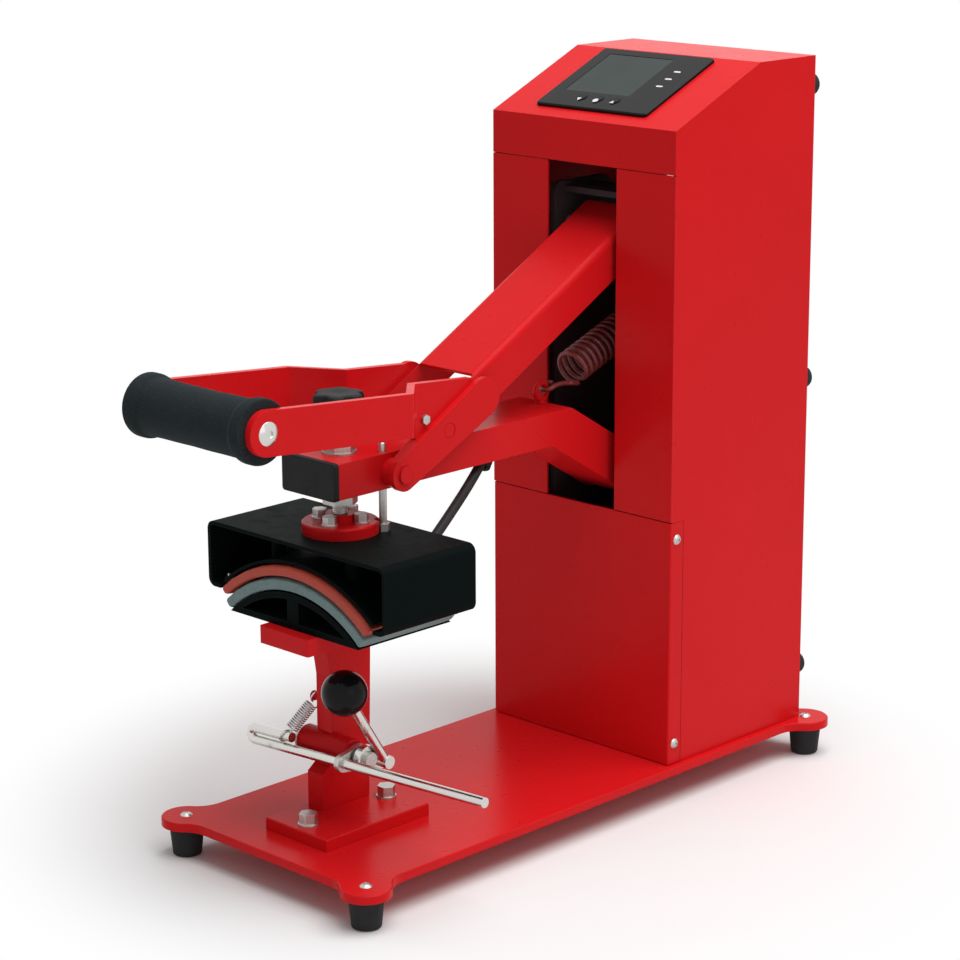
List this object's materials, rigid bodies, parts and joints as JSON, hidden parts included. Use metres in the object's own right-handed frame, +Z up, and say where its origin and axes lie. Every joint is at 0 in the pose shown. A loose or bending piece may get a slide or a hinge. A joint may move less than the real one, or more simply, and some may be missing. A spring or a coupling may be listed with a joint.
{
  "type": "cap heat press",
  "caption": "Hand-operated cap heat press: a toggle lever lowers a curved heated head onto a padded curved form on a base with a control tower.",
  "frame": {"origin": "on the table, under the middle of the base plate", "axes": "+X to the machine's right as its operator sees it, -Y towards the operator, +Z up"},
  "size_m": [0.2958, 0.6273, 0.6061],
  "materials": {
    "red_enamel": "glossy bright red enamel",
    "black_enamel": "satin black enamel",
    "zinc": "zinc plated",
    "chrome": "bright chrome",
    "spring_steel": "dull red-brown lacquer on wire",
    "bright_wire": "bright wire",
    "black_rubber": "matt",
    "black_foam": "matt foam",
    "grey_foam": "matt foam rubber",
    "red_silicone": "matt silicone rubber",
    "black_plastic": "gloss",
    "dull_plastic": "fine grain",
    "lcd": "glossy display window",
    "white_mark": "printed light",
    "cable_jacket": "matt"
  },
  "bodies": {
    "tower": {"base_plate": "red_enamel", "rubber_feet": "black_rubber", "foot_screws": "zinc", "tower_shell": "red_enamel", "front_frame": "red_enamel", "lower_front_panel": "red_enamel", "panel_screws": "zinc", "rear_cover": "red_enamel", "rear_bumpers": "black_rubber", "uprights": "black_enamel", "upright_tie": "black_enamel", "pivot_pins": "zinc", "controller_bezel": "black_plastic", "display_window": "lcd", "indicator_lights": "white_mark", "power_entry": "dull_plastic", "return_spring": "spring_steel", "clamp_spring": "bright_wire", "stand_foot": "red_enamel", "stand_bolts": "zinc", "stand_post": "red_enamel", "stand_bar": "red_enamel", "clamp_tube": "red_enamel", "lower_form": "black_enamel", "foam_pad": "grey_foam", "silicone_pad": "red_silicone"},
    "lower_arm": {"lower_arm_front": "red_enamel", "lower_arm_rear": "red_enamel", "arm_end_plug": "dull_plastic", "arm_pivots": "red_enamel", "screw_nuts": "zinc", "spring_eye": "red_enamel", "cable_gland": "black_rubber", "heater_cable": "cable_jacket"},
    "handle_lever": {"handle_arm_left": "red_enamel", "handle_arm_right": "red_enamel", "toggle_plates": "red_enamel", "lever_bolts": "zinc", "grip_bar": "zinc", "foam_grip": "black_foam", "grip_screws": "chrome", "link_pins": "red_enamel"},
    "upper_link": {"toggle_link": "red_enamel"},
    "head": {"head_flange": "red_enamel", "flange_bolts": "zinc", "guide_rod": "zinc", "heater_cover": "black_enamel", "heater_block": "black_enamel", "block_hangers": "black_enamel", "cover_screws": "zinc"},
    "pressure_screw": {"pressure_screw": "zinc", "star_knob": "dull_plastic"},
    "brim_clamp": {"clamp_shaft": "zinc", "clamp_rod": "chrome", "clamp_lever": "chrome", "ball_knob": "black_plastic"},
    "down_key": {"button_down": "dull_plastic"},
    "set_key": {"button_set": "dull_plastic"},
    "up_key": {"button_up": "dull_plastic"},
    "power_rocker": {"rocker_switch": "black_plastic"}
  },
  "joints": [
    {"name": "arm_lift", "type": "hinge", "parent": "tower", "child": "lower_arm", "pos_m": [0, 0.13, 0.26], "axis": [-1, 0, 0], "range_deg": [0, 8], "deforming": ["return_spring"]},
    {"name": "handle_swing", "type": "hinge", "parent": "lower_arm", "child": "handle_lever", "pos_m": [0, -0.16, 0.3182], "axis": [-1, 0, 0], "range_deg": [0, 53.3]},
    {"name": "link_swing", "type": "hinge", "parent": "handle_lever", "child": "upper_link", "pos_m": [0, -0.1125, 0.3445], "axis": [-1, 0, 0], "range_deg": [-65.3, 0]},
    {"name": "pressure_slide", "type": "slide", "parent": "lower_arm", "child": "head", "axis": [0, 0, 1], "range_m": [0, 0.006], "deforming": ["heater_cable"]},
    {"name": "pressure_turn", "type": "hinge", "parent": "head", "child": "pressure_screw", "pos_m": [0, -0.187, 0.32], "axis": [0, 0, 1], "range_deg": [0, 1440]},
    {"name": "clamp_swing", "type": "hinge", "parent": "tower", "child": "brim_clamp", "pos_m": [0, -0.187, 0.092], "axis": [1, 0, 0], "range_deg": [0, 32], "stiffness_Nm_per_rad": 0.5, "springref_deg": -14.32, "deforming": ["clamp_spring"]},
    {"name": "down_press", "type": "slide", "parent": "tower", "child": "down_key", "axis": [0, 0.4049, -0.9144], "range_m": [0, 0.0006], "stiffness_N_per_m": 300, "springref_m": -0.0005},
    {"name": "set_press", "type": "slide", "parent": "tower", "child": "set_key", "axis": [0, 0.4049, -0.9144], "range_m": [0, 0.0006], "stiffness_N_per_m": 300, "springref_m": -0.0005},
    {"name": "up_press", "type": "slide", "parent": "tower", "child": "up_key", "axis": [0, 0.4049, -0.9144], "range_m": [0, 0.0006], "stiffness_N_per_m": 300, "springref_m": -0.0005},
    {"name": "rocker_tilt", "type": "hinge", "parent": "tower", "child": "power_rocker", "pos_m": [0.036, 0.2543, 0.096], "axis": [1, 0, 0], "range_deg": [0, 16]}
  ],
  "couplings": [
    {"joint": "handle_swing", "follows": "arm_lift", "ratio": 6.6594},
    {"joint": "link_swing", "follows": "arm_lift", "ratio": -8.1582},
    {"joint": "pressure_turn", "follows": "pressure_slide", "rad_per_m": 4188.8}
  ]
}
